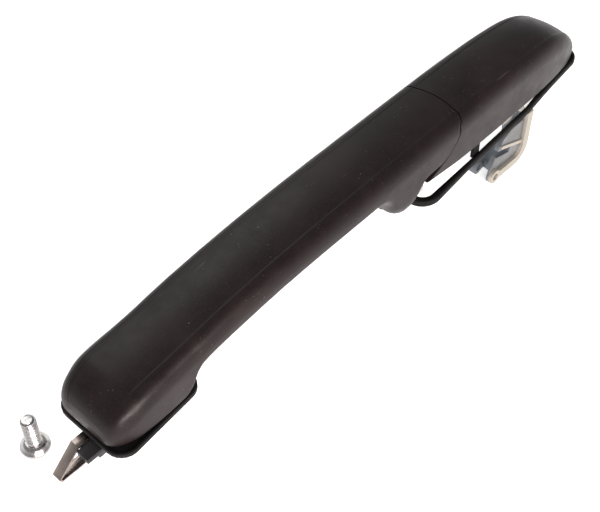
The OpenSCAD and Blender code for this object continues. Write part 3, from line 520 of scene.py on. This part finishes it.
def skin(name, half_rings):
    """Closed skin over half rings that are mirrored in Y; the ends are ladders of flat strips."""
    n = len(half_rings[0])
    points = [p for ring in half_rings for p in ring]
    points += [(x, -y, z) for x, y, z in points]
    m = len(half_rings)
    other = m * n
    faces = []
    for k in range(m - 1):
        for j in range(n - 1):
            a, b = k * n + j, (k + 1) * n + j
            faces += [(a, a + 1, b + 1, b), (other + a, other + b, other + b + 1, other + a + 1)]
        low_a, low_b = k * n + n - 1, (k + 1) * n + n - 1
        faces.append((low_a, low_b, other + low_b, other + low_a))
    for k in (0, m - 1):
        faces += [(k * n + j, k * n + j + 1, other + k * n + j + 1, other + k * n + j)
                  for j in range(n - 1)]
    return mesh_object(name, points, faces)


def rounding(radius, steps=4):
    """Steps back from an end and insets that round the end's edge, from the full section out."""
    return [(radius * (1 - sin(a)), radius * (1 - cos(a))) for a in np.linspace(0, pi / 2, steps + 1)]


def line_at(height, x0, x1, offset):
    """Points along a height profile, moved up by the offset."""
    return [(x, height(x) + offset) for x in np.linspace(x0, x1, 40)]


def grip_skin():
    """Grip from its nose to the seam, hollow, with openings for the foot, the cover and the hook."""
    def at(x):
        return half_section(x, grip_z(x), edge_r(x))
    seam_ends = seam_end(at, -1)
    n = len(seam_ends)
    shear_x = rear_foot_x - 24
    rings = [skin_ring(at, [nose_x + back] * n, inset) for back, inset in reversed(rounding(NOSE_ROUND))]
    near = nose_x + NOSE_ROUND + (NOSE_RUN - NOSE_ROUND) * np.linspace(0.02, 1, 34)**1.5
    rings += [skin_ring(at, [x] * n) for x in (*near, *np.arange(near[-1] + 1, shear_x, 1.0))]
    rings += [skin_ring(at, shear_x + f * (seam_ends - END_ROUND - shear_x)) for f in np.linspace(0, 1, 60)]
    rings += [skin_ring(at, seam_ends - back, inset) for back, inset in rounding(END_ROUND)[1:]]
    obj = skin("grip_skin", rings)

    # Hollow under the crown: open below inside the foot, with a floor from the foot to the seam.
    cavity_x0, cavity_x1 = nose_x + WALL, seam_x - 11
    open_x, floor_x = foot_end - WALL - 2.4, foot_end + 3
    roof = [(cavity_x0, top_z(cavity_x0) - ROOF_T), *line_at(top_z, cavity_x0 + 4, cavity_x1, -ROOF_T)]
    floor = line_at(grip_z, floor_x, cavity_x1 - 10, WALL)[::-1]
    cut(obj, prism([(cavity_x0, -1), *roof, *floor, (open_x, grip_z(floor_x) + WALL), (open_x, -1)],
                   -cavity_half, cavity_half))
    # Opening for the cover, through that floor.
    cover_x0, cover_x1 = foot_end + COVER_BACK, foot_end + COVER_BACK + COVER_LEN
    cover_low, cover_high = (line_at(grip_z, cover_x0, cover_x1, z) for z in (-1, WALL + 1))
    cut(obj, prism(cover_low + cover_high[::-1], -COVER_W / 2, COVER_W / 2))
    # Slot that the hook's leg comes out through.
    leg_x0, leg_t, play = hook_hi.x - 11.5, 5, 0.15
    cut(obj, block(leg_x0 - 0.8, leg_x0 + leg_t + 0.8, hook_lo.y - play, hook_hi.y + play,
                   0, hook_hi.z + play))
    return finish_piece(obj, "grip_shell")


def cap_skin():
    """End cap from the seam to its tail, hollow from below, with a notch that the hook swings in."""
    def at(x):
        return half_section(x, cap_z(x), CAP_EDGE)
    seam_starts = seam_end(at, 1)
    n = len(seam_starts)
    shear_x = seam_x + 14
    rings = [skin_ring(at, seam_starts + back, inset) for back, inset in reversed(rounding(END_ROUND)[1:])]
    for f in np.linspace(0, 1, 40):
        rings.append(skin_ring(at, seam_starts + END_ROUND + f * (shear_x - seam_starts - END_ROUND)))
    tail = end_x - END_ROUND - (TAIL_RUN - END_ROUND) * np.linspace(1, 0, 60)**1.5
    rings += [skin_ring(at, [x] * n) for x in (*np.arange(shear_x + 1, end_x - TAIL_RUN, 1.0), *tail)]
    rings += [skin_ring(at, [end_x - back] * n, inset) for back, inset in rounding(END_ROUND)[1:]]
    obj = skin("cap_skin", rings)

    # Hollow, open below: its front wall follows the seam and its plan narrows with the tail.
    cavity_x1 = end_x - 9
    front = [(x + 3.3, z - 0.8) for x, z in SEAM[:-2]]
    profile = [(front[0][0], -1), *front, *line_at(top_z, seam_x + 3, cavity_x1 - 8, -ROOF_T),
               (cavity_x1, top_z(cavity_x1) - ROOF_T - 2.6), (cavity_x1, -1)]
    cavity = prism(profile, -cavity_half, cavity_half)
    xs = [cap_front_x - 5, seam_x + 30, end_x - 36, end_x - 18, cavity_x1]
    half = [min(cavity_half, side_y(max(x, cap_front_x)) - WALL - 0.6) for x in xs]
    outline = list(zip(xs, [-h for h in half])) + list(zip(xs, half))[::-1]
    cut(cavity, column(outline, -FAR, FAR), "INTERSECT")
    cut(obj, cavity)
    # Notch in the front wall that leaves the hook room to swing.
    notch_half, notch_z = hook_hi.y + 1.7, 24
    cut(obj, block(cap_front_x - 1, seam_x - 3, -notch_half, notch_half, 0, notch_z))
    return finish_piece(obj, "cap_shell")


# ------------------------------------------------------------------ rear gasket

GASKET_H = 3.0
GASKET_CORNER = 9
GASKET_SIDE, GASKET_END = 2.6, 4
FRONT_OVER, SIDE_OVER, TAIL_UNDER = 1.3, 0.3, 3.6
BEND_HALF = 5
gasket_z = cap_h - 4.2
slope, tip_slope = np.tan(radians(4.6)), np.tan(radians(9))


def gasket_outline(front, side):
    """Plan of the rear gasket, drawn in by front at its ends and by side along the cap."""
    lo, hi = box_mm("rear_gasket")
    r = GASKET_CORNER - front
    front_half, end_half = half_w + FRONT_OVER - front, half_w - TAIL_UNDER - front
    middle = half_w + SIDE_OVER - side

    def arc(cx, cy, a0):
        return [(cx + r * cos(radians(a0 + a)), cy + r * sin(radians(a0 + a))) for a in range(0, 91, 6)]
    side_line = [(tip_bend_x, middle + 0.6), (bend_x - 16, middle)]
    start, stop = arc(lo.x + front + r, front_half - r, 90)[0], arc(hi.x - front - r, end_half - r, 0)[-1]
    anchors = [start, *side_line, stop]
    flank = [tuple(np.array(a) + (np.array(b) - np.array(a)) * t)
             for a, b in zip(anchors, anchors[1:]) for t in np.linspace(0, 1, 12)[1:]][:-1]
    near = [(x, -y) for x, y in flank]
    return (arc(lo.x + front + r, -front_half + r, 180) + near
            + arc(hi.x - front - r, -end_half + r, 270) + arc(hi.x - front - r, end_half - r, 0)
            + flank[::-1] + arc(lo.x + front + r, front_half - r, 90))


def gasket_under(x):
    """Underside of the gasket, which droops towards its front end in two soft bends."""
    def straight(u):
        z = gasket_z - slope * max(0.0, bend_x - max(u, tip_bend_x))
        return z - tip_slope * max(0.0, tip_bend_x - u)
    return float(np.mean([straight(x + d) for d in np.linspace(-BEND_HALF, BEND_HALF, 11)]))


def rear_gasket():
    """Rubber ring with a raised outer lip, a shallow inner channel and two bridging lugs."""
    outer, inner = gasket_outline(0, 0), gasket_outline(GASKET_END, GASKET_SIDE)
    top, r = GASKET_H, 0.7
    points = []
    for (xo, yo), (xi, yi) in zip(outer, inner):
        w = max(float(np.hypot(xi - xo, yi - yo)), 1e-6)
        corner = [(r - r * cos(a), top - r + r * sin(a)) for a in np.linspace(0, pi / 2, 5)]
        profile = [(0, r), *corner, (1.3, top), (1.7, top - 0.3), (1.9, top - 0.7),
                   (w - 1.0, top - 0.75), (w - 0.4, top - 0.9), (w, top - 1.4), (w, r),
                   (w - 0.3, 0.2), (w - r, 0), (r, 0), (0.2, 0.2)]
        for d, h in profile:
            x, y = xo + (xi - xo) * d / w, yo + (yi - yo) * d / w
            points.append((x, y, gasket_under(x) + h))
    obj = mesh_object("rear_gasket.piece", points, grid_faces(len(outer), len(profile)))
    lug_x, lug_len, lug_in, lug_out = seam_x + 9, 4, half_w - 3.2, half_w - 1.4
    for y0, y1 in ((-lug_out, -lug_in), (lug_in, lug_out)):
        lug = block(lug_x, lug_x + lug_len, y0, y1, gasket_under(lug_x) + 0.8, cap_h - 0.3)
        round_edges(lug, 0.3)
        join(obj, lug)
    return finish_piece(obj, "rear_gasket", 50)


# ------------------------------------------------------------------ loose bolt

def fixing_bolt():
    """Flanged pan-head bolt that stands on its head, with a rolled helical thread."""
    lo, hi = box_mm("fixing_bolt")
    centre = (lo + hi) / 2
    height, head_r = hi.z - lo.z, (hi.x - lo.x) / 2
    head_h, shank_r, pitch, depth = 3.4, 3.0, 1.0, 0.33
    head = turned("fixing_bolt.piece", [
        (head_r - 1.0, 0), (head_r - 0.4, 0.12), (head_r - 0.1, 0.4), (head_r - 0.02, 0.8),
        (head_r - 0.02, 1.2), (head_r - 0.25, 1.55), (head_r - 0.8, 1.9), (head_r - 1.2, 2.6),
        (shank_r + 0.9, head_h - 0.2), (shank_r + 0.5, head_h), (shank_r - depth, head_h + 0.1),
        (shank_r - depth, head_h + 0.6)])
    star_r, lobe, socket_h = 1.55, 0.28, 2
    turns = np.linspace(0, 2 * pi, 48, endpoint=False)
    star = [((star_r + lobe * cos(6 * a)) * cos(a), (star_r + lobe * cos(6 * a)) * sin(a)) for a in turns]
    cut(head, column(star, -1, socket_h))
    sides, rows_a_turn, z0 = 40, 12, head_h + 0.3
    point_h, point_slope, run_out_h, play = 1.0, 0.75, 0.8, 0.02
    rows = int((height - z0) / pitch * rows_a_turn)
    points = []
    for row in range(rows + 1):
        z = z0 + (height - z0) * row / rows
        point = max(0.0, z - (height - point_h)) * point_slope
        run_out = max(0.0, 1 - (z - z0) / run_out_h)
        for k in range(sides):
            phase = (z / pitch - k / sides) % 1.0
            groove = depth * (0.5 + 0.5 * cos(2 * pi * phase)) * (1 - run_out)
            r = shank_r - play - groove - depth * run_out - point
            points.append((r * cos(2 * pi * k / sides), r * sin(2 * pi * k / sides), z))
    ends = [tuple(range(sides)), tuple(range(rows * sides, (rows + 1) * sides))]
    join(head, mesh_object("thread", points, grid_faces(rows + 1, sides, closed_rows=False) + ends))
    head.data.transform(Matrix.Translation(Vector((centre.x, centre.y, lo.z)) * MM))
    return finish_piece(head, "fixing_bolt", 40)


# ------------------------------------------------------------------ camera, light and floor

def camera():
    """Camera above and beside the nose, matched to the photo by its place, its axes and its lens."""
    cam = bpy.data.objects.new("camera", bpy.data.cameras.new("camera"))
    bpy.context.scene.collection.objects.link(cam)
    right, up = Vector((0.6804, -0.7328, -0.0036)), Vector((0.5422, 0.5001, 0.6752))
    forward = Vector((0.4931, 0.4614, -0.7376))
    turn = Matrix((right, up, -forward)).transposed().to_4x4()
    place = Vector((-124.18, -198.65, 320.91)) * MM
    cam.matrix_world = Matrix.Translation(place) @ turn
    cam.data.sensor_width = 36
    cam.data.lens = 66.36
    cam.data.clip_start, cam.data.clip_end = 0.01, 20
    bpy.context.scene.camera = cam


def lamp(name, place, aim, size, power, colour=(1, 1, 1)):
    """Rectangular lamp at a place in metres, turned towards a point."""
    light = bpy.data.lights.new(name, "AREA")
    light.shape = "RECTANGLE"
    light.size, light.size_y = size
    light.energy = power
    light.color = colour
    obj = bpy.data.objects.new(name, light)
    obj.location = place
    obj.rotation_euler = (Vector(aim) - Vector(place)).to_track_quat("-Z", "Y").to_euler()
    bpy.context.scene.collection.objects.link(obj)


def backdrop():
    """World that is bright at the horizon and dims upwards."""
    world = bpy.data.worlds.new("studio")
    bpy.context.scene.world = world
    world.use_nodes = True
    tree = world.node_tree
    direction = tree.nodes.new("ShaderNodeTexCoord").outputs["Generated"]
    split = tree.nodes.new("ShaderNodeSeparateXYZ")
    tree.links.new(direction, split.inputs[0])
    fade = tree.nodes.new("ShaderNodeMapRange")
    for key, number in {"From Min": 0.10, "From Max": 0.45, "To Min": 0.85, "To Max": 0.27}.items():
        fade.inputs[key].default_value = number
    tree.links.new(split.outputs["Z"], fade.inputs["Value"])
    tree.links.new(fade.outputs["Result"], tree.nodes["Background"].inputs["Strength"])
    tree.nodes["Background"].inputs["Color"].default_value = (1, 1, 1, 1)


def paper_floor():
    """White paper that glows a little, just under the lowest point of the CAD."""
    floor_half, floor_gap = 3, 0.5 * MM
    floor = bmesh.new()
    bmesh.ops.create_grid(floor, x_segments=1, y_segments=1, size=floor_half)
    mesh = bpy.data.meshes.new("floor")
    floor.to_mesh(mesh)
    floor.free()
    obj = bpy.data.objects.new("floor", mesh)
    obj.location.z = cad_lo.z - floor_gap
    bpy.context.scene.collection.objects.link(obj)
    paper = Nodes("paper", (0.93, 0.93, 0.93), 0.9, specular=0.1)
    paper.tint(paper.span(paper.noise(120, 2), 0.3, 0.7, 0.0, 0.3), (0.91, 0.91, 0.91))
    paper.shader.inputs["Emission Color"].default_value = (1, 1, 1, 1)
    paper.shader.inputs["Emission Strength"].default_value = 0.6
    mesh.materials.append(paper.material)


def studio():
    """Backdrop, a key lamp above and behind, a low lamp in front of the flank, and the floor."""
    backdrop()
    bpy.context.scene.view_settings.view_transform = "Standard"
    middle = (cad_lo + cad_hi) / 2
    lamp("key", (0.3, 1.0, 1.1), middle, (1.2, 0.8), 6)
    lamp("flank", (-0.3, -0.9, 0.42), middle, (0.8, 0.2), 16, (1.0, 0.88, 0.86))
    paper_floor()


camera()
grip_skin()
cap_skin()
rear_gasket()
fixing_bolt()
for node, width in {
    "grip_cover": 0.3, "grip_core": 0, "pull_hook": 0.4, "hook_screws": 0.2, "hinge_pin": 0.2,
    "rear_foot_buffer": 0.5, "front_base": 0.3, "hinge_bushes": 0.1, "front_gasket": 0.35,
    "spring_clip": 0.12, "cap_frame": 0.2, "cap_screws": 0.2, "carrier": 0.35, "thread_insert": 0.2,
    "lever_pin": 0.2, "pin_clip": 0.08, "lever_spring": 0, "release_lever": 0.3, "lever_bushes": 0.15,
    "tip_sleeve": 0.15,
}.items():
    from_node(node, width)
studio()
